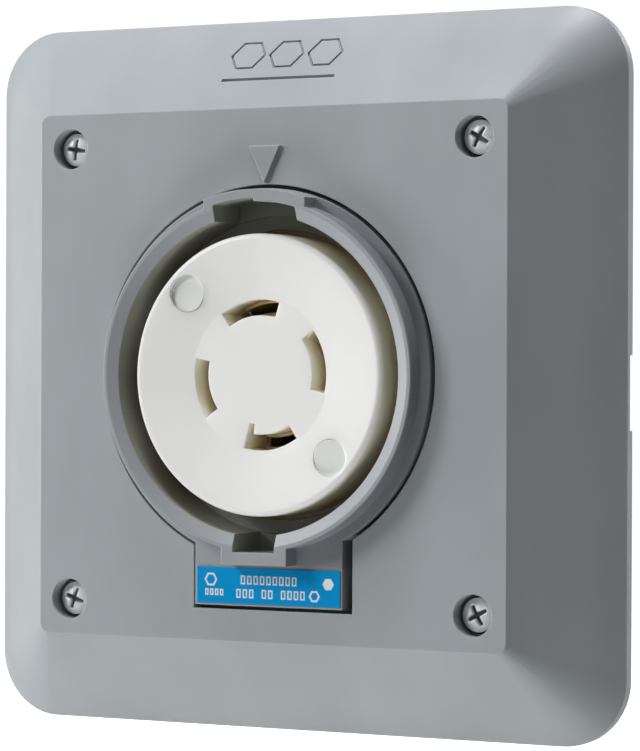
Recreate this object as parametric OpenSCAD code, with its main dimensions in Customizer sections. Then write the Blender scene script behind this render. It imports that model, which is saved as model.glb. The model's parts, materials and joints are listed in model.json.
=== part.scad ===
// Flush-mounted 30 A locking receptacle in a keyed shroud, on a square two-gang cover plate.
// +X is right and +Z is up as seen from the front. The front faces -Y and the box lies on the +Y side.
// The origin is the centre of the plate's rear plane, where the plate meets the box.

/* [Cover plate] */
// Width and height of the square plate
plate_w = 140; // [138:1:146]
// Height of the flat face above the rear plane
plate_h = 16.5; // [16:0.25:18]
// Width of the flat square face
face_w = 103.5; // [103:0.5:106]
// Radius of the plate's outer corners
plate_corner_r = 13; // [10:1:20]
// Radius of the flat face's corners
face_corner_r = 2; // [1:0.5:5]
// Height of the straight side below the bevel
lip_h = 2.2; // [1.6:0.2:3]
// Wall thickness of the moulded plate
plate_wall = 3; // [2.5:0.25:3]
// Thickness of the gasket between plate and box
gasket_t = 2; // [1.5:0.25:2.5]

/* [Cover screws] */
// Spacing of the four cover screws, both ways
screw_spacing = 89.7; // [88:0.1:91]
// Thread diameter of a cover screw
screw_d = 3.5; // [3:0.1:4]
// Length of a cover screw under its head
screw_len = 25.4; // [20:0.2:32]
// Diameter of the plain neck that keeps the seal on its screw
screw_neck_d = 2.7; // [2.6:0.1:2.9]
// Diameter of a cover screw's head
screw_head_d = 6.5; // [6:0.1:7]
// Diameter of the counterbore around each head
counterbore_d = 8; // [7.6:0.1:9]

/* [Keyed shroud] */
// Inner diameter of the collar
collar_id = 62; // [61:0.5:63]
// Outer diameter of the collar
collar_od = 68; // [67:0.5:69]
// Distance from the rear plane to the collar's front rim
collar_front = 21.2; // [20:0.2:23]
// Diameter of the flange that fills the plate's round opening
flange_d = 72.2; // [71.6:0.2:73]
// How far the flange stands proud of the plate
flange_proud = 0.6; // [0.2:0.1:1]
// Gap all round between the flange and the plate
flange_gap = 0.75; // [0.4:0.05:0.9]
// Width of the wide keyway at the top
top_key_w = 18.2; // [16:0.2:19]
// Width of the narrow keyway at the bottom
bottom_key_w = 9.2; // [8:0.2:10]

/* [Receptacle] */
// Diameter of the round nose with the blade slots
nose_d = 54.6; // [54:0.2:55.2]
// Distance from the rear plane to the nose's front edge
nose_front = 20; // [19:0.2:20.6]
// Middle radius of the curved blade slots
slot_r = 13.05; // [12.8:0.05:13.3]
// Width of the blade slots
slot_w = 3.1; // [2.8:0.1:3.2]
// Diameter of the insulating base behind the nose
base_d = 57; // [56.6:0.1:57.2]
// Distance from the rear plane to the receptacle's rearmost face
base_rear = 17; // [16.5:0.25:19]

/* [Terminals] */
// Thread diameter of a terminal screw
terminal_screw_d = 4.2; // [3.8:0.1:4.2]
// Head diameter of a terminal screw
terminal_head_d = 6.8; // [6.4:0.1:7]
// Distance from the rear plane to the terminal screws' axes
terminal_y = 8; // [7.8:0.1:8.2]

/* [Hidden] */
$fn = 96;

// Running clearance between parts that slide or turn in each other
fit = 0.05;
// Overshoot of every cutting tool past the surface that it cuts
over = 1;

// Cover plate: levels along Y and derived radii
face_y = -plate_h;
inner_y = face_y + plate_wall;
half_w = plate_w / 2;
half_face = face_w / 2;
bevel_run = half_w - half_face;
bevel_drop = plate_h - lip_h;
bevel_bulge = 0.35;
bevel_steps = 8;
slice_t = 0.01;
hull_fn = 48;
bevel_wall = 2.2;
seat_outer = 58;
seat_inner = 52.2;
screw_at = screw_spacing / 2;
screw_boss_r = 6.5;
counterbore_y = -12.5;
hole_clear = 0.35;
notch_w = 14.2;
notch_z = -3.1;
notch_depth = 1.1;

// Cover screws and their seals
screw_seal_t = 0.7;
screw_seal_od = 7.2;
head_h = 1.9;
head_dome_r = 9;
recess_w = 0.95;
recess_span = 4.3;
recess_deep = 1.1;

// Keyed shroud
collar_ir = collar_id / 2;
collar_or = collar_od / 2;
flange_r = flange_d / 2;
rim_slope = 0.9;
top_bulge_half = 11.2;
top_bulge_r = 35.8;
top_key_r = 34.1;
top_key_step_r = 33.4;
bottom_key_x = 0.2;
bottom_key_z = -34.2;
bottom_bulge_w = 14.4;
bottom_bulge_z = -36.6;
tab_x = 1.2;
tab_w = 32.6;
tab_z = -44.8;
tab_play = 1.1;
keyway_floor_y = -10.5;
seal_t = 1;
rear_flange_y = inner_y + seal_t;
rear_flange_t = 3;
rear_flange_r = 43;
rear_flange_half = 21.5;
rear_flange_z = -49.3;
lip_ir = 28.3;
lip_y0 = -9.5;
lip_y1 = -8;
barrel_r = 34.5;
strap_y = -4.5;

// Receptacle
nose_r = nose_d / 2;
nose_round = 1;
dish_flat_r = 15;
dish_deep = 1.5;
face_flange_r = 30.7;
chamber_front_y = -13;
plug_r = 3.65;
plug_at = [15.9, 15.8];
plug_y = -19.1;
plug_t = 2.8;
assembly_d = 3.5;
assembly_head_r = 3.1;
assembly_head_y = -16.2;
assembly_head_h = 2.2;
assembly_end_y = 13.4;
nut_r = 3.4;
nut_t = 2.6;
base_r = base_d / 2;
cover_t = 3;
cover_y = base_rear - cover_t;

// Slots, each with its middle angle and half span in degrees: X, Y, Z and ground
SLOTS = [[99.5, 26.5], [11.5, 25.5], [191, 24], [280, 24]];
slot_ir = slot_r - slot_w / 2;
slot_or = slot_r + slot_w / 2;
ground_hook_r = 9.5;
ground_hook_half = 3.5;

// Contacts and terminals
leaf_t = 0.6;
leaf_half = 18;
leaf_front_y = -12.5;
web_y = 2.2;
web_t = 1.4;
pad_r0 = 18.6;
pad_r1 = 20;
pad_w = 9;
pad_end_y = 12.5;
cell_ir = 10.9;
cell_or = 15.2;
cell_half = 22;
cell_w = 10.4;
cell_r0 = 14.5;
cell_r1 = 25.2;
clamp_gap = 0.3;
clamp_t = 1.6;
clamp_w = 8.6;
clamp_h = 8;
terminal_head_h = 2.2;
terminal_tip_r = 15.2;
driver_hole_r = 3.9;
entry_r0 = 19.4;
entry_r1 = 25;
entry_w = 10;

// Mounting strap
strap_t = 1.2;
strap_hole_r = 28.8;
strap_ring_r = 36;
strap_at = 32.5;
strap_arm_w = 9;
strap_eye_r = 5.2;
strap_boss_r = 4.2;
strap_screw_r = 1.95;
strap_head_r = 3.6;
strap_head_h = 2.2;
strap_screw_end_y = -13;

label_t = 0.15;

plate_grey = [0.60, 0.63, 0.64];
shroud_grey = [0.50, 0.53, 0.55];
nose_white = [0.93, 0.92, 0.87];
base_black = [0.10, 0.10, 0.11];
rubber_black = [0.06, 0.06, 0.06];
zinc = [0.78, 0.79, 0.80];
brass = [0.80, 0.65, 0.32];
label_blue = [0.00, 0.55, 0.80];
ground_green = [0.15, 0.50, 0.25];

// Extrudes an outline drawn in X and Z, as seen from the front, from y0 back to y1
module slab(y0, y1) {
    translate([0, y1, 0]) rotate([90, 0, 0]) linear_extrude(y1 - y0) children();
}

// Turns children about the Y axis so that their +X points at the given angle from +X towards +Z
module at_angle(angle) {
    rotate([0, -angle, 0]) children();
}

// Puts children at the four corners of a square
module at_corners(half) {
    for (sx = [-1, 1]) for (sz = [-1, 1]) translate([sx * half, 0, sz * half]) children();
}

// Puts children at the two assembly screws
module at_assembly() {
    for (s = [-1, 1]) translate([s * plug_at[0], 0, -s * plug_at[1]]) children();
}

module rounded_square(half, r) {
    square([2 * half, 2 * (half - r)], center = true);
    square([2 * (half - r), 2 * half], center = true);
    for (sx = [-1, 1]) for (sy = [-1, 1]) translate([sx, sy] * (half - r)) circle(r);
}

module ring(r0, r1) {
    difference() {
        circle(r1);
        circle(r0);
    }
}

// Part of a ring, reaching half_span degrees to each side of the middle angle
module arc_piece(r0, r1, mid, half_span) {
    far = 2 * r1;
    intersection() {
        ring(r0, r1);
        rotate(mid) polygon([
            [0, 0],
            far * [cos(half_span), -sin(half_span)],
            [far, 0],
            far * [cos(half_span), sin(half_span)]
        ]);
    }
}

// ---- Cover plate ----

// Height of the bevel along its run: nearly straight, with a soft bulge towards the outer edge
function bevel_y(t) = face_y + bevel_drop * (t - bevel_bulge * pow(t, 3) * (1 - t));
function bevel_slope(t) = bevel_drop * (1 - bevel_bulge * (3 * pow(t, 2) - 4 * pow(t, 3))) / bevel_run;

// Thin slice of the plate's outline at step t along the bevel, drawn in by inset and set back by drop
module plate_slice(t, inset, drop) {
    corner = face_corner_r + t * (plate_corner_r - face_corner_r);
    y = bevel_y(t) + drop;
    slab(y, y + slice_t) rounded_square(half_face + t * bevel_run - inset, corner);
}

module plate_outside() {
    hull($fn = hull_fn) {
        for (i = [0:bevel_steps]) plate_slice(i / bevel_steps, 0, 0);
        slab(-lip_h, 0) rounded_square(half_w, plate_corner_r);
    }
}

module plate_inside() {
    hull($fn = hull_fn) {
        slab(inner_y, inner_y + slice_t) rounded_square(half_face - 1.6, face_corner_r);
        for (i = [2:bevel_steps]) plate_slice(i / bevel_steps, bevel_wall, bevel_wall);
        slab(0, over) rounded_square(half_w - plate_wall, plate_corner_r - plate_wall);
    }
}

// Outline of the opening for the shroud, larger than the shroud's flange by gap, and by extra right of the tab
module keyhole(gap, extra = 0) {
    circle(flange_r + gap);
    translate([tab_x - tab_w / 2 - gap, tab_z - gap]) square([tab_w + 2 * gap + extra, gap - tab_z]);
}

// Rim that meets the box, with a post round each screw
module box_seat() {
    slab(face_y, -gasket_t) difference() {
        rounded_square(seat_outer, 6);
        rounded_square(seat_inner, 3);
    }
    at_corners(screw_at) slab(face_y, -gasket_t) circle(screw_boss_r);
    at_corners(strap_at) slab(face_y + over, strap_y) circle(strap_boss_r);
}

// Moulded pointer that shows where the plug's mark lines up
module pointer() {
    slab(face_y - 0.7, face_y + over) polygon([[-3.4, 44.3], [3.4, 44.3], [0, 37.2]]);
}

// Outline of a six-sided ring
module hex_ring(r, line) {
    difference() {
        circle(r, $fn = 6);
        circle(r - line, $fn = 6);
    }
}

// Plain moulded ornament sunk into the top bevel: three six-sided rings over a bar
module bevel_ornament() {
    t = 0.54;
    deep = 0.5;
    translate([0, bevel_y(t), half_face + t * bevel_run]) rotate([90 - atan(bevel_slope(t)), 0, 0])
        translate([0, 0, -deep]) linear_extrude(deep + over) {
            for (i = [-1:1]) translate([8.6 * i, 1.4]) hex_ring(4, 0.55);
            translate([-12.6, -5.2]) square([25.2, 0.7]);
        }
}

module cover_plate() {
    color(plate_grey) difference() {
        union() {
            plate_outside();
            pointer();
        }
        difference() {
            plate_inside();
            box_seat();
        }
        slab(face_y - over, inner_y + over) keyhole(flange_gap, tab_play);
        at_corners(screw_at) {
            slab(face_y - over, counterbore_y) circle(d = counterbore_d);
            slab(face_y - over, over) circle(d = screw_d + 2 * hole_clear);
        }
        at_corners(strap_at) slab(strap_screw_end_y - 0.5, strap_y + over) circle(strap_screw_r + fit);
        translate([half_w - plate_wall - over, -notch_depth, notch_z - notch_w / 2])
            cube([plate_wall + 2 * over, notch_depth + over, notch_w]);
        bevel_ornament();
    }
}

module box_gasket() {
    pad = seat_inner + 0.3 - screw_at;
    color(rubber_black) difference() {
        union() {
            slab(-gasket_t, 0) difference() {
                rounded_square(seat_outer, 6);
                rounded_square(seat_inner, 3);
            }
            for (sx = [-1, 1]) for (sz = [-1, 1]) scale([sx, 1, sz]) translate([screw_at, 0, screw_at])
                slab(-gasket_t, 0) {
                    circle(screw_boss_r);
                    translate([-screw_boss_r, 0]) square([pad + screw_boss_r, pad]);
                    translate([0, -screw_boss_r]) square([pad, pad + screw_boss_r]);
                }
        }
        at_corners(screw_at) slab(-gasket_t - over, over) circle(d = screw_d + 2 * hole_clear);
    }
}

// ---- Cover screws ----

// Combined slot and cross recess, cut into a head whose top lies at the origin and faces +Z
module drive_recess(head_d, span, wide, deep) {
    translate([-head_d / 2 - over, -wide / 2, -deep * 0.7]) cube([head_d + 2 * over, wide, deep + over]);
    for (a = [0, 90]) rotate(a) translate([-span / 2, -wide / 2, -deep]) cube([span, wide, deep + over]);
}

// Screw along +Z with the underside of its head at the origin, then a neck if it has one, then its thread
module pan_screw(shank_d, head_d, head_h, len, dome_r, wide, span, deep, turn, neck_d = 0, neck_len = 0) {
    thread_top = neck_len > 0 ? -neck_len : 0.01;
    difference() {
        union() {
            intersection() {
                cylinder(h = head_h, d = head_d);
                translate([0, 0, head_h - dome_r]) sphere(dome_r);
            }
            if (neck_len > 0) translate([0, 0, thread_top - 0.5]) cylinder(h = neck_len + 0.51, d = neck_d);
            translate([0, 0, -len + 0.6]) cylinder(h = len - 0.6 + thread_top, d = shank_d);
            translate([0, 0, -len]) cylinder(h = 0.6, d1 = shank_d - 1, d2 = shank_d);
        }
        translate([0, 0, head_h]) rotate(turn) drive_recess(head_d, span, wide, deep);
    }
}

// Captive screw: its neck ends and its thread starts at the plate's rear plane
module cover_screw(sx, sz, turn) {
    under_head = counterbore_y - screw_seal_t;
    color(zinc) translate([sx * screw_at, under_head, sz * screw_at]) rotate([90, 0, 0])
        pan_screw(screw_d, screw_head_d, head_h, screw_len, head_dome_r, recess_w, recess_span,
            recess_deep, turn, screw_neck_d, -under_head);
}

module screw_seal(sx, sz) {
    color(rubber_black) translate([sx * screw_at, 0, sz * screw_at])
        slab(counterbore_y - screw_seal_t, counterbore_y) ring(screw_neck_d / 2 + fit, screw_seal_od / 2);
}

// ---- Keyed shroud ----

module collar_outline() {
    circle(collar_or);
    intersection() {
        circle(top_bulge_r);
        translate([-top_bulge_half, 0]) square([2 * top_bulge_half, top_bulge_r]);
    }
    translate([bottom_key_x - bottom_bulge_w / 2, bottom_bulge_z]) square([bottom_bulge_w, -bottom_bulge_z]);
}

// Wide keyway at the top, slightly shallower on its right half, and narrow keyway at the bottom
module keyways() {
    intersection() {
        circle(top_key_step_r);
        translate([-top_key_w / 2, 0]) square([top_key_w, top_key_r]);
    }
    intersection() {
        circle(top_key_r);
        translate([-top_key_w / 2, 0]) square([top_key_w / 2, top_key_r]);
    }
    translate([bottom_key_x - bottom_key_w / 2, bottom_key_z]) square([bottom_key_w, -bottom_key_z]);
}

// Outline of the hidden flange that bears on the plate from behind
module rear_flange_outline(inset) {
    circle(rear_flange_r - inset);
    translate([tab_x - rear_flange_half + inset, rear_flange_z + inset])
        square([2 * (rear_flange_half - inset), -rear_flange_z - inset]);
}

module shroud_housing() {
    rear_flange_end = rear_flange_y + rear_flange_t;
    color(shroud_grey) difference() {
        union() {
            slab(-collar_front, rear_flange_y) collar_outline();
            slab(face_y - flange_proud, rear_flange_y + 0.01) keyhole(0);
            slab(rear_flange_y, rear_flange_end) difference() {
                rear_flange_outline(0);
                for (sx = [-1, 1]) for (sz = [-1, 1]) translate([sx, sz] * strap_at) circle(strap_boss_r + 0.3);
            }
            slab(rear_flange_end - 0.01, strap_y) circle(barrel_r);
        }
        slab(-collar_front - over, lip_y0) circle(collar_ir);
        slab(lip_y0 - over, lip_y1 + over) circle(lip_ir);
        slab(lip_y1, strap_y + over) circle(collar_ir);
        slab(-collar_front - over, keyway_floor_y) keyways();
        translate([0, -collar_front + rim_slope, 0]) rotate([90, 0, 0])
            cylinder(h = rim_slope + 0.01, r1 = collar_ir - 0.01, r2 = collar_or - 0.7);
    }
}

module shroud_seal() {
    color(rubber_black) slab(inner_y, rear_flange_y) difference() {
        rear_flange_outline(1.7);
        keyhole(flange_gap + 0.3);
    }
}

module rating_label() {
    front = face_y - flange_proud;
    color(label_blue) slab(front - label_t, front) translate([tab_x - 15.9, tab_z + 0.4]) square([31.8, 7.0]);
}

// ---- Receptacle ----

// Half outline of the nose, radius against distance to the front: a rounded edge round a shallow dish
function nose_points() = concat(
    [[0, -strap_y], [nose_r, -strap_y]],
    [for (a = [0:15:90]) [nose_r - nose_round * (1 - cos(a)), nose_front - nose_round * (1 - sin(a))]],
    [[dish_flat_r, nose_front - dish_deep], [0, nose_front - dish_deep]]
);

module blade_slots() {
    for (s = SLOTS) arc_piece(slot_ir, slot_or, s[0], s[1]);
    hook_mid = SLOTS[3][0] - SLOTS[3][1] + ground_hook_half + 0.5;
    arc_piece(ground_hook_r, slot_ir + 0.5, hook_mid, ground_hook_half);
}

// Spaces for the four contacts, open from behind
module contact_cells() {
    for (s = SLOTS) arc_piece(cell_ir, cell_or, s[0], cell_half);
}

module receptacle_face() {
    seal_back = lip_y1 + seal_t;
    color(nose_white) difference() {
        union() {
            rotate([90, 0, 0]) rotate_extrude() polygon(nose_points());
            slab(seal_back, strap_y) circle(face_flange_r);
        }
        slab(-nose_front - over, strap_y + over) blade_slots();
        slab(chamber_front_y, strap_y + over) contact_cells();
        at_assembly() {
            slab(-nose_front - over, assembly_head_y + assembly_head_h) circle(plug_r);
            slab(-nose_front - over, strap_y + over) circle(assembly_d / 2 + 2 * fit);
        }
    }
}

module face_seal() {
    color(rubber_black) slab(lip_y1, lip_y1 + seal_t) ring(lip_ir + 0.3, face_flange_r);
}

module face_plugs() {
    color(nose_white) at_assembly() slab(plug_y, plug_y + plug_t) circle(plug_r - fit);
}

module assembly_screws() {
    color(zinc) at_assembly() translate([0, assembly_head_y + assembly_head_h, 0]) rotate([90, 0, 0])
        pan_screw(assembly_d, 2 * assembly_head_r, assembly_head_h,
            assembly_end_y - assembly_head_y - assembly_head_h, head_dome_r, recess_w, 3.6, recess_deep, 0);
}

module assembly_nuts() {
    color(zinc) at_assembly() slab(cover_y - nut_t - 0.2, cover_y - 0.2) difference() {
        circle(nut_r, $fn = 6);
        circle(assembly_d / 2 + fit);
    }
}

// Cell for one terminal: a box from the contact pad out to the wall, open to the rear
module terminal_cell(angle) {
    at_angle(angle) {
        translate([cell_r0, web_y, -cell_w / 2]) cube([cell_r1 - cell_r0, cover_y - web_y + over, cell_w]);
        translate([cell_r1 - over, terminal_y, 0]) rotate([0, 90, 0]) cylinder(h = base_r, r = driver_hole_r);
    }
}

module at_cover_screws() {
    for (a = [55, 235]) at_angle(a) translate([22, 0, 0]) children();
}

module receptacle_base() {
    color(base_black) difference() {
        slab(strap_y, cover_y) circle(base_r);
        slab(strap_y - over, cover_y + over) contact_cells();
        for (s = SLOTS) terminal_cell(s[0]);
        at_assembly() {
            slab(strap_y - over, cover_y + over) circle(assembly_d / 2 + 2 * fit);
            slab(cover_y - nut_t - 0.2, cover_y + over) circle(nut_r + 0.15, $fn = 6);
        }
        at_cover_screws() slab(cover_y - 9, cover_y + over) circle(1.3 + fit);
    }
}

module rear_cover() {
    color(base_black) difference() {
        slab(cover_y, base_rear) circle(base_r);
        for (s = SLOTS) at_angle(s[0]) translate([entry_r0, cover_y - over, -entry_w / 2])
            cube([entry_r1 - entry_r0, cover_t + 2 * over, entry_w]);
        at_cover_screws() {
            slab(cover_y - over, base_rear + over) circle(1.6);
            slab(base_rear - 1.6, base_rear + over) circle(2.9);
        }
    }
}

module rear_cover_screws() {
    color(zinc) at_cover_screws() translate([0, base_rear - 1.6, 0]) rotate([-90, 0, 0])
        pan_screw(2.6, 5.2, 1.4, 9.5, 8, 0.7, 3, 0.8, 30);
}

// ---- Contacts ----

module contact(angle) {
    color(brass) difference() {
        union() {
            slab(leaf_front_y, web_y + web_t / 2) {
                arc_piece(slot_ir, slot_ir + leaf_t, angle, leaf_half);
                arc_piece(slot_or - leaf_t, slot_or, angle, leaf_half);
            }
            slab(web_y, web_y + web_t) {
                arc_piece(slot_ir - 0.1, slot_or + 0.1, angle, leaf_half + 1);
                rotate(angle) translate([slot_r, -pad_w / 2]) square([pad_r1 - slot_r, pad_w]);
            }
            slab(web_y, pad_end_y) rotate(angle) translate([pad_r0, -pad_w / 2]) square([pad_r1 - pad_r0, pad_w]);
        }
        at_angle(angle) translate([0, terminal_y, 0]) rotate([0, 90, 0])
            cylinder(h = base_r, d = terminal_screw_d + 2 * fit);
    }
}

// Flat steel clips that hold the two leaves of each contact together
module contact_springs() {
    inner = 0.2;
    color(zinc) for (s = SLOTS) slab(-10.5, -6) difference() {
        arc_piece(slot_ir - inner - 0.25, slot_or + inner + 0.25, s[0], leaf_half + 2.4);
        arc_piece(slot_ir - inner, slot_or + inner, s[0], leaf_half + 1.2);
    }
}

module terminal_clamp(angle) {
    color(zinc) at_angle(angle) translate([pad_r1 + clamp_gap, terminal_y, 0]) difference() {
        translate([0, -clamp_h / 2, -clamp_w / 2]) cube([clamp_t, clamp_h, clamp_w]);
        translate([-over, 0, 0]) rotate([0, 90, 0]) cylinder(h = clamp_t + 2 * over, d = terminal_screw_d + 2 * fit);
    }
}

module terminal_screw(angle, shade) {
    under_head = pad_r1 + clamp_gap + clamp_t + 0.02;
    color(shade) at_angle(angle) translate([under_head, terminal_y, 0]) rotate([0, 90, 0])
        pan_screw(terminal_screw_d, terminal_head_d, terminal_head_h, under_head - terminal_tip_r, 12, 1,
            4.4, 1.2, 20);
}

// ---- Mounting strap ----

module mounting_strap() {
    color(zinc) slab(strap_y, strap_y + strap_t) difference() {
        union() {
            circle(strap_ring_r);
            for (a = [45:90:315]) rotate(a) translate([strap_hole_r + 3, -strap_arm_w / 2])
                square([strap_at * sqrt(2) - strap_hole_r - 3, strap_arm_w]);
            for (sx = [-1, 1]) for (sz = [-1, 1]) translate([sx, sz] * strap_at) circle(strap_eye_r);
        }
        circle(strap_hole_r);
        for (sx = [-1, 1]) for (sz = [-1, 1]) translate([sx, sz] * strap_at) circle(strap_screw_r + 0.2);
    }
}

module strap_screws() {
    back = strap_y + strap_t;
    color(zinc) at_corners(strap_at) translate([0, back, 0]) rotate([-90, 0, 0])
        pan_screw(2 * strap_screw_r, 2 * strap_head_r, strap_head_h, back - strap_screw_end_y, 12, 1, 4.4, 1.2, 15);
}

cover_plate();
box_gasket();
shroud_housing();
shroud_seal();
rating_label();
receptacle_face();
face_seal();
face_plugs();
receptacle_base();
rear_cover();
rear_cover_screws();
assembly_screws();
assembly_nuts();
mounting_strap();
strap_screws();
contact(SLOTS[0][0]);  // line_contact_x
contact(SLOTS[1][0]);  // line_contact_y
contact(SLOTS[2][0]);  // line_contact_z
contact(SLOTS[3][0]);  // ground_contact
contact_springs();
terminal_clamp(SLOTS[0][0]);  // terminal_clamp_x
terminal_clamp(SLOTS[1][0]);  // terminal_clamp_y
terminal_clamp(SLOTS[2][0]);  // terminal_clamp_z
terminal_clamp(SLOTS[3][0]);  // terminal_clamp_ground
terminal_screw(SLOTS[0][0], brass);  // terminal_screw_x
terminal_screw(SLOTS[1][0], brass);  // terminal_screw_y
terminal_screw(SLOTS[2][0], brass);  // terminal_screw_z
terminal_screw(SLOTS[3][0], ground_green);  // terminal_screw_ground
screw_seal(-1, 1);  // screw_seal_top_left
screw_seal(1, 1);  // screw_seal_top_right
screw_seal(-1, -1);  // screw_seal_bottom_left
screw_seal(1, -1);  // screw_seal_bottom_right
cover_screw(-1, 1, 82);  // cover_screw_top_left
cover_screw(1, 1, 60);  // cover_screw_top_right
cover_screw(-1, -1, 70);  // cover_screw_bottom_left
cover_screw(1, -1, 118);  // cover_screw_bottom_right
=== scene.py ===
"""Looks of the flush locking receptacle on its two-gang cover plate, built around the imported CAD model."""
import json
import math

import bmesh
import bpy
from mathutils import Matrix, Vector


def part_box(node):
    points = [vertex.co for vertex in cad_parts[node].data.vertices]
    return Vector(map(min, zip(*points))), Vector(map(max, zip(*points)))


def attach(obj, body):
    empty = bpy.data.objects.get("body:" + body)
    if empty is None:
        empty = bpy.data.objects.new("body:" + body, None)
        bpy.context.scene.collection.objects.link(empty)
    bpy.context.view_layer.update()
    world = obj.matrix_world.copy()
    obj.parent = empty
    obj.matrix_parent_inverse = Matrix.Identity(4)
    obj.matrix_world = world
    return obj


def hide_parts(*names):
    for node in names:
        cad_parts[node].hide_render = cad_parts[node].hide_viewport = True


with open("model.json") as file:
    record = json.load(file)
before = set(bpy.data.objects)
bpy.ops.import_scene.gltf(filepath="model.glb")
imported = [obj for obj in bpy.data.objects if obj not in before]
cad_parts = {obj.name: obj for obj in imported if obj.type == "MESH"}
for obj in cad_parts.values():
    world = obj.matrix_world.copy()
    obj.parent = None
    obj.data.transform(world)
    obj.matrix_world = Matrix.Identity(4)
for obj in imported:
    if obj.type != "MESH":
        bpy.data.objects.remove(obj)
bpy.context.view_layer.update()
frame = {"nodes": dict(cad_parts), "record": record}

MM = 0.001
ROOT = "receptacle_unit"
SCREW_AT = 44.85 * MM
# Painted shade on the collar: a dark tone in its bore and keyways behind the rim.
BORE_SHADE_TONE = (0.27, 0.265, 0.225)
BORE_SHADE_SHARE = 0.75
# Painted shade on the collar's right outer flank.
FLANK_SHADE_TONE = (0.13, 0.145, 0.155)
FLANK_SHADE_SHARE = 0.6
BOTTOM_KEY_X = 0.2 * MM
# Painted shade inside the cover screws' cross recesses.
CROSS_SHADE_TONE = (0.06, 0.075, 0.075)
# Painted light on the nose: a cream glow on its side and in its slots.
SIDE_GLOW_TONE = (1.0, 0.95, 0.78)
# Painted shade: a darker tan deeper in the nose's slots.
DEEP_SHADE_TONE = (0.85, 0.72, 0.45)


# ---- Material building blocks ----

def start_material(name):
    """A new material with its tree, its Principled shader and the coordinates of the piece's own frame."""
    mat = bpy.data.materials.new(name)
    mat.use_nodes = True
    tree = mat.node_tree
    shader = tree.nodes["Principled BSDF"]
    place = tree.nodes.new("ShaderNodeTexCoord").outputs["Object"]
    return mat, tree, shader, place


def add_noise(tree, place, size, detail=4.0, roughness=0.55, stretch=(1, 1, 1)):
    """Noise from 0 to 1 whose lumps are about size metres across."""
    scale = tree.nodes.new("ShaderNodeMapping")
    scale.inputs["Scale"].default_value = stretch
    tree.links.new(place, scale.inputs["Vector"])
    noise = tree.nodes.new("ShaderNodeTexNoise")
    noise.inputs["Scale"].default_value = 1 / size
    noise.inputs["Detail"].default_value = detail
    noise.inputs["Roughness"].default_value = roughness
    tree.links.new(scale.outputs["Vector"], noise.inputs["Vector"])
    return noise.outputs["Fac"]


def remap(tree, value, low, high, to_low=0.0, to_high=1.0):
    """Value stretched from low..high to to_low..to_high, clamped."""
    node = tree.nodes.new("ShaderNodeMapRange")
    for name, number in zip(("From Min", "From Max", "To Min", "To Max"), (low, high, to_low, to_high)):
        node.inputs[name].default_value = number
    tree.links.new(value, node.inputs["Value"])
    return node.outputs["Result"]


def mix(tree, factor, first, second, blend="MIX"):
    """Colour between first and second; each is a socket or a plain colour."""
    node = tree.nodes.new("ShaderNodeMix")
    node.data_type = "RGBA"
    node.blend_type = blend
    sockets = node.inputs[0], node.inputs[6], node.inputs[7]
    for socket, value in zip(sockets, (factor, first, second)):
        if isinstance(value, bpy.types.NodeSocket):
            tree.links.new(value, socket)
        elif isinstance(value, (int, float)):
            socket.default_value = value
        else:
            socket.default_value = (*value, 1)
    return node.outputs[2]


def math_node(tree, operation, *values):
    node = tree.nodes.new("ShaderNodeMath")
    node.operation = operation
    for socket, value in zip(node.inputs, values):
        if isinstance(value, bpy.types.NodeSocket):
            tree.links.new(value, socket)
        else:
            socket.default_value = value
    return node.outputs[0]


def place_parts(tree, place):
    """X, Y and Z of the piece's own frame, and the distance from its Y axis, all in metres."""
    split = tree.nodes.new("ShaderNodeSeparateXYZ")
    tree.links.new(place, split.inputs["Vector"])
    x, y, z = split.outputs
    squares = math_node(tree, "ADD", math_node(tree, "MULTIPLY", x, x), math_node(tree, "MULTIPLY", z, z))
    return x, y, z, math_node(tree, "SQRT", squares)


def edge_mask(tree, radius, low=0.004, high=0.06):
    """1 along edges sharper than about radius, 0 on open surfaces."""
    bevel = tree.nodes.new("ShaderNodeBevel")
    bevel.samples = 4
    bevel.inputs["Radius"].default_value = radius
    surface = tree.nodes.new("ShaderNodeNewGeometry")
    dot = tree.nodes.new("ShaderNodeVectorMath")
    dot.operation = "DOT_PRODUCT"
    tree.links.new(bevel.outputs["Normal"], dot.inputs[0])
    tree.links.new(surface.outputs["Normal"], dot.inputs[1])
    away = math_node(tree, "SUBTRACT", 1.0, dot.outputs["Value"])
    return remap(tree, away, low, high)


def add_bump(tree, shader, layers, edge=0.0):
    """Chains bump layers, each a height socket, a depth in metres and a strength.

    A positive edge rounds the shading of sharp edges by that radius first.
    """
    normal = None
    if edge:
        soft_edges = tree.nodes.new("ShaderNodeBevel")
        soft_edges.samples = 6
        soft_edges.inputs["Radius"].default_value = edge
        normal = soft_edges.outputs["Normal"]
    for height, depth, strength in layers:
        bump = tree.nodes.new("ShaderNodeBump")
        bump.inputs["Distance"].default_value = depth
        bump.inputs["Strength"].default_value = strength
        tree.links.new(height, bump.inputs["Height"])
        if normal is not None:
            tree.links.new(normal, bump.inputs["Normal"])
        normal = bump.outputs["Normal"]
    tree.links.new(normal, shader.inputs["Normal"])


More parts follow.
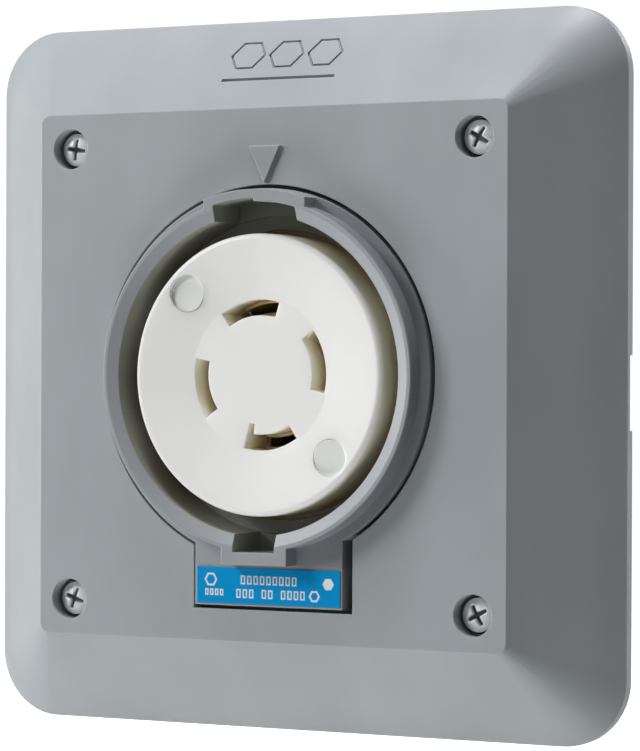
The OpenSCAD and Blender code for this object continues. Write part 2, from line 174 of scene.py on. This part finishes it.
def moulded_plastic(name, colour, roughness, grain=0.35 * MM, depth=0.02 * MM, variation=0.06, wear=0.15,
                    tint=None, shine=0.5, glow=0.0):
    """Injection-moulded plastic: fine spark-eroded grain, faint flow marks, dulled edges and dust.

    tint(tree, place, tone) may colour some places in the piece's own frame and returns the new tone.
    shine is the strength of its reflections, and glow how much light passes through its thin walls.
    """
    mat, tree, shader, place = start_material(name)
    light = tuple(min(1, c * (1 + variation)) for c in colour)
    dark = tuple(c * (1 - variation) for c in colour)
    worn = tuple(c + (1 - c) * wear for c in colour)
    flow = add_noise(tree, place, 28 * MM, 3, stretch=(1, 1, 0.45))
    speck = add_noise(tree, place, 1.3 * MM, 5, 0.7)
    fine = add_noise(tree, place, grain, 3, 0.6)
    tone = mix(tree, remap(tree, flow, 0.35, 0.65), dark, light)
    tone = mix(tree, remap(tree, speck, 0.62, 0.8, 0, 0.35), tone, worn)
    tone = mix(tree, math_node(tree, "MULTIPLY", edge_mask(tree, 0.5 * MM), 0.5), tone, worn)
    if tint:
        tone = tint(tree, place, tone)
    tree.links.new(tone, shader.inputs["Base Color"])
    rough = remap(tree, fine, 0.3, 0.7, roughness - 0.05, roughness + 0.07)
    tree.links.new(rough, shader.inputs["Roughness"])
    shader.inputs["IOR"].default_value = 1.5
    shader.inputs["Specular IOR Level"].default_value = shine
    shader.inputs["Subsurface Weight"].default_value = glow
    shader.inputs["Subsurface Radius"].default_value = (1.0, 0.97, 0.85)
    shader.inputs["Subsurface Scale"].default_value = 6 * MM
    add_bump(tree, shader, [(fine, depth, 0.35), (speck, depth * 2, 0.12)], edge=0.3 * MM)
    return mat


def collar_painted_shade(tree, place, tone):
    """Painted shade on the collar: a dark tone in the bore and keyways behind the rim, and a darker right
    flank.
    """
    x, y, z, radius = place_parts(tree, place)
    # Painted shade: a dark tone in the bore and keyways behind the rim.
    behind_rim = remap(tree, y, -20.9 * MM, -20.3 * MM)
    bore = remap(tree, radius, 31.2 * MM, 31.08 * MM)
    key_depth = remap(tree, radius, 34.75 * MM, 34.6 * MM)
    top_key = remap(tree, math_node(tree, "ABSOLUTE", x), 9.2 * MM, 9.12 * MM)
    beside_key = math_node(tree, "ABSOLUTE", math_node(tree, "SUBTRACT", x, BOTTOM_KEY_X))
    bottom_key = remap(tree, beside_key, 4.7 * MM, 4.62 * MM)
    above = remap(tree, z, 0, 1 * MM)
    key = mix(tree, above, bottom_key, top_key)
    inside = math_node(tree, "MAXIMUM", bore, math_node(tree, "MULTIPLY", key, key_depth))
    mask = math_node(tree, "MULTIPLY", math_node(tree, "MULTIPLY", inside, behind_rim), BORE_SHADE_SHARE)
    tone = mix(tree, mask, tone, BORE_SHADE_TONE)
    # Painted shade: a darker tone on the collar's right flank.
    past_rim = remap(tree, y, -20.95 * MM, -20.5 * MM)
    flank = math_node(tree, "MULTIPLY", remap(tree, radius, 33.7 * MM, 33.95 * MM), past_rim)
    flank = math_node(tree, "MULTIPLY", flank, remap(tree, z, -37.5 * MM, -36.5 * MM))
    flank = math_node(tree, "MULTIPLY", flank, remap(tree, x, 0, 20 * MM))
    return mix(tree, math_node(tree, "MULTIPLY", flank, FLANK_SHADE_SHARE), tone, FLANK_SHADE_TONE)


def nose_painted_glow_and_shade(tree, place, tone):
    """Painted light and shade on the nose: a cream glow on its side and in its slots, and a darker tan shade
    deeper in.
    """
    _, y, _, radius = place_parts(tree, place)
    # Painted light: a cream glow down the nose's side and in its slots.
    down_side = remap(tree, y, -19.8 * MM, -18.6 * MM)
    side = math_node(tree, "MULTIPLY", down_side, remap(tree, radius, 26.9 * MM, 27.2 * MM))
    into_slots = remap(tree, y, -18.4 * MM, -17.0 * MM)
    slots = math_node(tree, "MULTIPLY", into_slots, remap(tree, radius, 17 * MM, 16.5 * MM))
    tone = mix(tree, math_node(tree, "MAXIMUM", side, slots), tone, SIDE_GLOW_TONE)
    # Painted shade: a darker tan deeper in.
    deep = math_node(tree, "MULTIPLY", remap(tree, y, -16.0 * MM, -12 * MM), 0.8)
    return mix(tree, deep, tone, DEEP_SHADE_TONE)


def cross_recess_painted_shade(tree, place, tone):
    """Painted shade: a dark tone inside the cross recesses of the four cover screws."""
    x, y, z, _ = place_parts(tree, place)
    beside = [math_node(tree, "SUBTRACT", math_node(tree, "ABSOLUTE", v), SCREW_AT) for v in (x, z)]
    squares = [math_node(tree, "MULTIPLY", v, v) for v in beside]
    near = remap(tree, math_node(tree, "SQRT", math_node(tree, "ADD", *squares)), 2.35 * MM, 2.2 * MM)
    in_head = remap(tree, y, -13.4 * MM, -13.5 * MM)
    sunk = math_node(tree, "MULTIPLY", remap(tree, y, -14.6 * MM, -14.0 * MM), in_head)
    return mix(tree, math_node(tree, "MULTIPLY", near, sunk), tone, CROSS_SHADE_TONE)


def bright_metal(name, colour, roughness, tarnish, brushed=(1, 1, 1), tint=None, metallic=1.0):
    """Plated or rolled metal: fine directional scratches, tarnish blotches and brighter rubbed edges."""
    mat, tree, shader, place = start_material(name)
    blotch = add_noise(tree, place, 3 * MM, 5, 0.65)
    scratch = add_noise(tree, place, 0.12 * MM, 4, 0.7, stretch=brushed)
    tone = mix(tree, remap(tree, blotch, 0.45, 0.75, 0, 0.6), colour, tarnish)
    tone = mix(tree, edge_mask(tree, 0.15 * MM), tone, tuple(min(1, c * 1.15) for c in colour))
    if tint:
        tone = tint(tree, place, tone)
    tree.links.new(tone, shader.inputs["Base Color"])
    rough = remap(tree, scratch, 0.3, 0.7, roughness * 0.7, roughness * 1.4)
    tree.links.new(rough, shader.inputs["Roughness"])
    shader.inputs["Metallic"].default_value = metallic
    add_bump(tree, shader, [(scratch, 0.006 * MM, 0.3), (blotch, 0.02 * MM, 0.1)])
    return mat


def soft_rubber(name):
    """Black gasket rubber with a dusty bloom and a fine pitted skin."""
    mat, tree, shader, place = start_material(name)
    bloom = add_noise(tree, place, 6 * MM, 5, 0.6)
    pits = add_noise(tree, place, 0.3 * MM, 4, 0.7)
    tone = mix(tree, remap(tree, bloom, 0.5, 0.75, 0, 0.5), (0.018, 0.018, 0.019), (0.06, 0.06, 0.058))
    tree.links.new(tone, shader.inputs["Base Color"])
    tree.links.new(remap(tree, pits, 0.3, 0.7, 0.62, 0.85), shader.inputs["Roughness"])
    add_bump(tree, shader, [(pits, 0.03 * MM, 0.4)])
    return mat


# ---- Camera, light and floor ----

def add_camera():
    """Long lens looking a little from the right, level with the plate's centre."""
    yaw, pitch, roll = (math.radians(a) for a in (28.8, 0.16, 0.21))
    forward = Vector((-math.sin(yaw) * math.cos(pitch), math.cos(yaw) * math.cos(pitch), -math.sin(pitch)))
    level_right = Vector((math.cos(yaw), math.sin(yaw), 0))
    level_up = level_right.cross(forward)
    right = level_right * math.cos(roll) + level_up * math.sin(roll)
    up = level_up * math.cos(roll) - level_right * math.sin(roll)
    data = bpy.data.cameras.new("camera")
    data.sensor_width = 36
    data.lens = 162
    data.clip_start = 0.01
    camera = bpy.data.objects.new("camera", data)
    camera.matrix_world = Matrix((right, up, -forward)).transposed().to_4x4()
    camera.location = Vector((8.57, -10, -0.06)) * MM - forward * 655 * MM
    bpy.context.scene.collection.objects.link(camera)
    bpy.context.scene.camera = camera


def add_area_light(name, place, target, size, power, colour=(1, 1, 1)):
    data = bpy.data.lights.new(name, "AREA")
    data.shape = "DISK"
    data.size = size
    data.energy = power
    data.color = colour
    light = bpy.data.objects.new(name, data)
    light.location = place
    light.rotation_euler = (Vector(target) - Vector(place)).to_track_quat("-Z", "Y").to_euler()
    bpy.context.scene.collection.objects.link(light)


LIGHTS = (
    # name, place in metres, watts, colour
    ("top", (0, -0.15, 1.25), 12.4, (1.0, 0.96, 1.03)),
    ("upper_left", (-0.9, -0.8, 0.75), 11.0, (0.98, 1.0, 1.0)),
    ("left", (-1.25, -0.24, 0.08), 6.4, (1.02, 1.0, 0.98)),
    ("bottom", (0, -0.5, -1.2), 6.6, (0.98, 0.98, 1.03)),
    ("lower_left", (-0.7, -0.26, -1.0), 3.6, (1.0, 1.0, 1.0)),
    ("right", (1.25, -0.4, 0), 0.4, (1.0, 1.0, 1.0)),
    ("right_rear", (1.0, 0.85, 0.1), 5.5, (1.0, 1.0, 1.0)),
    ("behind", (0.4, 1.3, 0.7), 4.0, (1.0, 1.0, 1.0)),
)
LIGHT_SIZE = 0.5


def seen_by_camera(tree, to_camera, to_others):
    """One strength for what the camera sees directly and another for the light cast on other things."""
    path = tree.nodes.new("ShaderNodeLightPath")
    return remap(tree, path.outputs["Is Camera Ray"], 0, 1, to_others, to_camera)


def add_studio():
    """Soft lights, a pale surround and a plain pale floor that lets the two lowest lights through."""
    for name, place, power, colour in LIGHTS:
        add_area_light(name, place, (0, 0, 0), LIGHT_SIZE, power, colour)
    world = bpy.data.worlds.new("surround")
    world.use_nodes = True
    sky = world.node_tree.nodes["Background"]
    sky.inputs["Color"].default_value = (1, 1, 1, 1)
    world.node_tree.links.new(seen_by_camera(world.node_tree, 1.05, 0.145), sky.inputs["Strength"])
    bpy.context.scene.world = world
    bpy.ops.mesh.primitive_plane_add(size=12, location=(0, 0, -0.16))
    floor = bpy.context.object
    floor.name = "floor"
    mat, tree, shader, place = start_material("pale_floor")
    shader.inputs["Base Color"].default_value = (0.8, 0.8, 0.8, 1)
    shader.inputs["Roughness"].default_value = 0.9
    shader.inputs["Emission Color"].default_value = (1, 1, 1, 1)
    tree.links.new(seen_by_camera(tree, 0.9, 0), shader.inputs["Emission Strength"])
    floor.data.materials.append(mat)
    floor.visible_shadow = False
    floor.visible_diffuse = False
    bpy.context.scene.view_settings.view_transform = "Standard"


# ---- Finish on the CAD nodes ----

MATERIALS = {
    "plate_plastic": moulded_plastic("plate_grey", (0.36, 0.395, 0.405), 0.45),
    # The collar's grey carries painted shade in its bore, keyways and right flank.
    "shroud_plastic": moulded_plastic("shroud_grey", (0.33, 0.35, 0.365), 0.42, tint=collar_painted_shade),
    # The nose's white carries a painted cream glow on its side and slots, and painted tan shade deeper in.
    "nose_plastic": moulded_plastic("nose_white", (0.96, 0.955, 0.90), 0.4, variation=0.02,
                                    tint=nose_painted_glow_and_shade, glow=0.4),
    "base_plastic": moulded_plastic("base_black", (0.022, 0.022, 0.024), 0.4, variation=0.2, wear=0.05),
    "rubber": soft_rubber("gasket_rubber"),
    "label_film": moulded_plastic("label_blue", (0.0, 0.31, 0.68), 0.4, variation=0.03, wear=0.02, shine=0.1),
    "zinc_steel": bright_metal("zinc_plate", (0.66, 0.68, 0.68), 0.3, (0.42, 0.43, 0.42)),
    "brass": bright_metal("rolled_brass", (0.70, 0.53, 0.26), 0.5, (0.25, 0.16, 0.06)),
    "green_screw": bright_metal("green_plate", (0.06, 0.32, 0.14), 0.3, (0.03, 0.18, 0.08)),
}
# The cover screws' zinc carries painted shade in their cross recesses.
HEAD_ZINC = bright_metal("cover_screw_zinc", (0.92, 0.96, 0.94), 0.5, (0.75, 0.78, 0.76),
                         tint=cross_recess_painted_shade, metallic=0.4)
PLUG_WHITE = moulded_plastic("plug_white", (0.80, 0.82, 0.79), 0.45, variation=0.02)
PRINT_WHITE = moulded_plastic("label_print", (0.85, 0.93, 0.95), 0.35, variation=0.02)
SLOT_OF = {s["node"]: s["material_slot"] for s in frame["record"]["subparts"]}


def soften(node, width, segments=2, angle=28):
    """Joins flat facets, rounds the sharp edges by width and shades the rest smoothly."""
    flat = node.modifiers.new("flatten", "DECIMATE")
    flat.decimate_type = "DISSOLVE"
    flat.angle_limit = math.radians(0.6)
    round_edges = node.modifiers.new("round_edges", "BEVEL")
    round_edges.width = width
    round_edges.segments = segments
    round_edges.limit_method = "ANGLE"
    round_edges.angle_limit = math.radians(angle)
    round_edges.harden_normals = False
    weigh = node.modifiers.new("weigh_normals", "WEIGHTED_NORMAL")
    weigh.keep_sharp = True
    for face in node.data.polygons:
        face.use_smooth = True


def finish_piece(bm, name, material, slot, body, *nodes):
    """Turns a finished bmesh into a smooth piece on a body, in place of the CAD nodes named."""
    mesh = bpy.data.meshes.new(name)
    bm.normal_update()
    bm.to_mesh(mesh)
    bm.free()
    mesh.materials.append(material)
    for face in mesh.polygons:
        face.use_smooth = True
    piece = bpy.data.objects.new(name, mesh)
    bpy.context.scene.collection.objects.link(piece)
    if nodes:
        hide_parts(*nodes)
    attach(piece, body)
    return piece


# ---- Cover plate with true normals on its bevel ----

PLATE_HALF = 70 * MM
FACE_HALF = 51.75 * MM
FACE_Y = -16.5 * MM
LIP_Y = -2.2 * MM
FACE_CORNER = 2 * MM
PLATE_CORNER = 13 * MM
BULGE = 0.35
ON_BEVEL = 0.12 * MM
SMOOTH_ANGLE = math.radians(30)


def bevel_rise(t):
    """Share of the bevel's drop that is reached at step t of its run, and the slope there."""
    return t - BULGE * t ** 3 * (1 - t), 1 - BULGE * (3 * t ** 2 - 4 * t ** 3)


def bevel_normal(p):
    """Outward normal of the plate's bevel at a point, or None where the point isn't on the bevel."""
    share = (p.y - FACE_Y) / (LIP_Y - FACE_Y)
    if not -0.001 <= share <= 1.001:
        return None
    low, high = 0.0, 1.0
    for _ in range(30):
        t = (low + high) / 2
        low, high = (t, high) if bevel_rise(t)[0] < share else (low, t)
    corner = FACE_CORNER + t * (PLATE_CORNER - FACE_CORNER)
    centre = FACE_HALF + t * (PLATE_HALF - FACE_HALF) - corner
    out = Vector((max(abs(p.x) - centre, 0), 0, max(abs(p.z) - centre, 0)))
    if abs(out.length - corner) > ON_BEVEL:
        return None
    out.normalize()
    turn = PLATE_CORNER - FACE_CORNER
    run = turn + (PLATE_HALF - FACE_HALF - turn) * (out.x + out.z)
    drop = (LIP_Y - FACE_Y) * bevel_rise(t)[1]
    return Vector((math.copysign(out.x * drop, p.x), -run, math.copysign(out.z * drop, p.z))).normalized()


def add_smooth_plate():
    """The CAD plate's own shape, shaded with the bevel's exact normals in place of its flat facets."""
    bm = bmesh.new()
    bm.from_mesh(frame["nodes"]["cover_plate"].data)
    bmesh.ops.remove_doubles(bm, verts=bm.verts, dist=0.001 * MM)
    bmesh.ops.dissolve_degenerate(bm, edges=bm.edges, dist=0.001 * MM)
    bm.normal_update()
    exact = {v: bevel_normal(v.co) for v in bm.verts}
    normals = []
    for face in bm.faces:
        flat = all(abs(v.co.y - FACE_Y) < 0.01 * MM for v in face.verts)
        on_bevel = not flat and all(exact[v] for v in face.verts)
        for v in face.verts:
            if on_bevel:
                normals.append(exact[v])
                continue
            near = [f for f in v.link_faces if f.normal.angle(face.normal, math.pi) < SMOOTH_ANGLE]
            normals.append(sum((f.normal * f.calc_area() for f in near), Vector()).normalized())
    plastic = MATERIALS["plate_plastic"]
    piece = finish_piece(bm, "cover_plate_shell", plastic, "plate_plastic", ROOT, "cover_plate")
    piece.data.normals_split_custom_set(normals)


# ---- Screws with real threads and a cross recess ----

AROUND = 64
HEAD_RINGS = 26
STEPS_PER_TURN = 8


def cross_recess(x, y, reach, half_width, depth):
    """How far the cross recess is sunk at a place on the head: four tapered wings that meet in a pit."""
    along, across = max(abs(x), abs(y)), min(abs(x), abs(y))
    width = half_width * (1.15 - 0.3 * along / reach)
    wall = 0.09 * reach
    end = min(1, max(0, (reach - along) / wall))
    side = min(1, max(0, (width - across) / wall))
    pit = min(1, max(0, (1.35 * half_width - math.hypot(x, y)) / wall))
    return depth * max(end * side * (1 - 0.5 * along / reach), 0.9 * pit)


def head_rings(radius, height, dome, turn, recess):
    """Rings of points over a domed head, from its middle out to its underside."""
    rings = []
    for i in range(HEAD_RINGS + 1):
        r = radius * i / HEAD_RINGS
        ring = []
        for k in range(AROUND):
            angle = 2 * math.pi * k / AROUND
            x, y = r * math.cos(angle), r * math.sin(angle)
            z = height - dome + math.sqrt(dome * dome - r * r)
            z -= cross_recess(r * math.cos(angle - turn), r * math.sin(angle - turn), *recess)
            ring.append(Vector((x, y, z)))
        rings.append(ring)
    rim = height - dome + math.sqrt(dome * dome - radius * radius)
    for r, z in ((radius + 0.02 * MM, rim - 0.12 * MM), (radius, 0.12 * MM), (radius - 0.12 * MM, 0)):
        rings.append(circle_points(r, z))
    return rings


def circle_points(radius, z):
    angles = (2 * math.pi * k / AROUND for k in range(AROUND))
    return [Vector((radius * math.cos(a), radius * math.sin(a), z)) for a in angles]


def thread_rings(radius, pitch, start, end):
    """Rings down a right-hand thread that runs out at its start and tapers at its tip."""
    root = radius - 0.6 * pitch
    count = round((start - end) / pitch * STEPS_PER_TURN)
    rings = []
    for i in range(count + 1):
        z = start + (end - start) * i / count
        run_out = min(1, i / STEPS_PER_TURN) * min(1, (count - i) / STEPS_PER_TURN)
        core = root - 0.25 * pitch * max(0, 1 - (count - i) / STEPS_PER_TURN)
        ring = []
        for k in range(AROUND):
            phase = (z / pitch - k / AROUND) % 1
            ridge = min(1, 1.2 * (1 - abs(2 * phase - 1)))
            r = core + (radius - root) * ridge * run_out
            angle = 2 * math.pi * k / AROUND
            ring.append(Vector((r * math.cos(angle), r * math.sin(angle), z)))
        rings.append(ring)
    return rings


def add_rings(bm, rings, matrix):
    """Skins rings of equal count and closes both ends."""
    loops = [[bm.verts.new(matrix @ p) for p in ring] for ring in rings]
    for first, second in zip(loops, loops[1:]):
        for k in range(AROUND):
            n = (k + 1) % AROUND
            bm.faces.new((first[k], second[k], second[n], first[n]))
    bm.faces.new(loops[-1][::-1])


def add_screw(bm, matrix, kind, turn):
    """Adds one screw whose head faces +Z and whose underside lies at the matrix's origin."""
    k = SCREWS[kind]
    rings = head_rings(k["head_r"], k["head_h"], k["dome"], turn, (k["reach"], k["wing"], k["deep"]))
    rings += [circle_points(k["neck_r"], 0), circle_points(k["neck_r"], -k["neck"])]
    rings += thread_rings(k["thread_r"], k["pitch"], -k["neck"], -k["length"])
    add_rings(bm, rings[1:], matrix)
    middle = bm.verts.new(matrix @ rings[0][0])
    bm.verts.ensure_lookup_table()
    inner = bm.verts[len(bm.verts) - 1 - AROUND * (len(rings) - 1):len(bm.verts) - 1][:AROUND]
    for i in range(AROUND):
        bm.faces.new((middle, inner[i], inner[(i + 1) % AROUND]))


def screw_kind(head_r, head_h, dome, reach, wing, deep, neck_r, neck, thread_r, length, pitch=0.79375):
    """Sizes of one kind of screw, given in millimetres."""
    sizes = dict(head_r=head_r, head_h=head_h, dome=dome, reach=reach, wing=wing, deep=deep, neck_r=neck_r,
                 neck=neck, thread_r=thread_r, length=length, pitch=pitch)
    return {key: value * MM for key, value in sizes.items()}


SCREWS = {
    "cover": screw_kind(3.25, 1.9, 5.6, 2.2, 0.52, 1.35, 1.35, 13.2, 1.75, 25.4),
    "terminal": screw_kind(3.4, 2.2, 8, 2.2, 0.5, 1.3, 1.7, 0.3, 2.1, 6.7),
    "strap": screw_kind(3.6, 2.2, 8, 2.3, 0.5, 1.4, 1.7, 0.3, 1.95, 9.7, 1.27),
    "rear": screw_kind(2.6, 1.4, 6, 1.6, 0.38, 0.9, 1.1, 0.3, 1.3, 9.5, 1.0),
}
HEAD_TURNS = {"screw_top_left": 82, "screw_top_right": 60, "screw_bottom_left": 70, "screw_bottom_right": 118}


def head_frame(place, axis):
    """Matrix that puts a screw's underside at a place with its head along the axis."""
    return Matrix.Translation(Vector(place)) @ Vector(axis).to_track_quat("Z", "Y").to_matrix().to_4x4()


def add_turning_screws():
    """The cover and terminal screws, each on the body that its hinge turns."""
    for joint in frame["record"]["behaviour"]["joints"]:
        if joint["type"] != "hinge":
            continue
        body = joint["child"]
        node = frame["record"]["behaviour"]["bodies"][body][0]
        kind = "cover" if body.startswith("screw") else "terminal"
        bm = bmesh.new()
        add_screw(bm, head_frame(joint["pos_m"], joint["axis"]), kind, math.radians(HEAD_TURNS.get(body, 20)))
        slot = SLOT_OF[node]
        material = HEAD_ZINC if kind == "cover" else MATERIALS[slot]
        finish_piece(bm, node + "_threaded", material, slot, body, node)


def add_fixed_screws():
    """The strap screws and the rear cover's screws, whose heads face the back."""
    backwards = (0, 1, 0)
    _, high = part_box("strap_screws")
    at = high[0] - SCREWS["strap"]["head_r"]
    under = high[1] - SCREWS["strap"]["head_h"]
    bm = bmesh.new()
    for x, z in ((-at, -at), (-at, at), (at, -at), (at, at)):
        add_screw(bm, head_frame((x, under, z), backwards), "strap", math.radians(15 + 900 * x + 2000 * z))
    finish_piece(bm, "strap_screws_threaded", MATERIALS["zinc_steel"], "zinc_steel", ROOT, "strap_screws")
    _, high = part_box("rear_cover_screws")
    x, z = (high[a] - SCREWS["rear"]["head_r"] for a in (0, 2))
    under = high[1] - SCREWS["rear"]["head_h"]
    bm = bmesh.new()
    for side in (-1, 1):
        add_screw(bm, head_frame((side * x, under, side * z), backwards), "rear", math.radians(35 * side))
    finish_piece(bm, "rear_cover_screws_threaded", MATERIALS["zinc_steel"], "zinc_steel", ROOT,
                 "rear_cover_screws")


# ---- Generic print on the label ----

def add_plate(bm, outline, front, thick, inner=None):
    """A thin flat plate from an outline in X and Z, with a hole of as many points if inner is given."""
    def ring(points, y):
        return [bm.verts.new((x, y, z)) for x, z in points]
    count = len(outline)
    out_front, out_back = ring(outline, front), ring(outline, front + thick)
    if inner:
        in_front, in_back = ring(inner, front), ring(inner, front + thick)
    for i in range(count):
        n = (i + 1) % count
        bm.faces.new((out_front[i], out_back[i], out_back[n], out_front[n]))
        if inner:
            bm.faces.new((in_front[n], in_back[n], in_back[i], in_front[i]))
            bm.faces.new((out_front[n], in_front[n], in_front[i], out_front[i]))
            bm.faces.new((out_back[i], in_back[i], in_back[n], out_back[n]))
    if not inner:
        bm.faces.new(out_front[::-1])
        bm.faces.new(out_back)


def block(x0, x1, z0, z1):
    return [(x0, z0), (x1, z0), (x1, z1), (x0, z1)]


def hexagon(x, z, r):
    return [(x + r * math.cos(math.radians(a)), z + r * math.sin(math.radians(a))) for a in range(0, 360, 60)]


def add_label_print():
    """Rows of plain blocks and hexagons stand in for the label's print."""
    low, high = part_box("rating_label")
    left, top, front = low[0], high[2], low[1] - 0.02 * MM
    thick = 0.04 * MM
    bm = bmesh.new()
    blocks = [(9.9 + 1.42 * i, 1.45, 1.02, 1.75) for i in range(9)]
    blocks += [(8.9 + 1.42 * i, 4.1, 1.02, 1.75) for i in (0, 1, 2, 4, 5, 7, 8, 9, 10)]
    blocks += [(1.9 + 1.1 * i, 4.2, 0.8, 1.3) for i in range(4)]
    for across, down, wide, tall in blocks:
        x, z = left + across * MM, top - down * MM
        outline = block(x, x + wide * MM, z - tall * MM, z)
        rim = 0.3 * MM
        hole = block(x + rim, x + wide * MM - rim, z - tall * MM + rim, z - rim)
        add_plate(bm, outline, front, thick, hole)
    for across, down, r in ((3.2, 2.4, 1.45), (26.2, 5.0, 1.25)):
        x, z = left + across * MM, top - down * MM
        add_plate(bm, hexagon(x, z, r * MM), front, thick, hexagon(x, z, (r - 0.45) * MM))
    add_plate(bm, hexagon(left + 29.2 * MM, top - 2.6 * MM, 1.25 * MM), front, thick)
    piece = finish_piece(bm, "label_print", PRINT_WHITE, "label_film", ROOT)
    for face in piece.data.polygons:
        face.use_smooth = False


for name, node in frame["nodes"].items():
    node.data.materials.clear()
    node.data.materials.append(MATERIALS[SLOT_OF[name]])
    soften(node, 0.12 * MM)
frame["nodes"]["face_plugs"].data.materials[0] = PLUG_WHITE
add_smooth_plate()
add_turning_screws()
add_fixed_screws()
add_label_print()

add_camera()
add_studio()
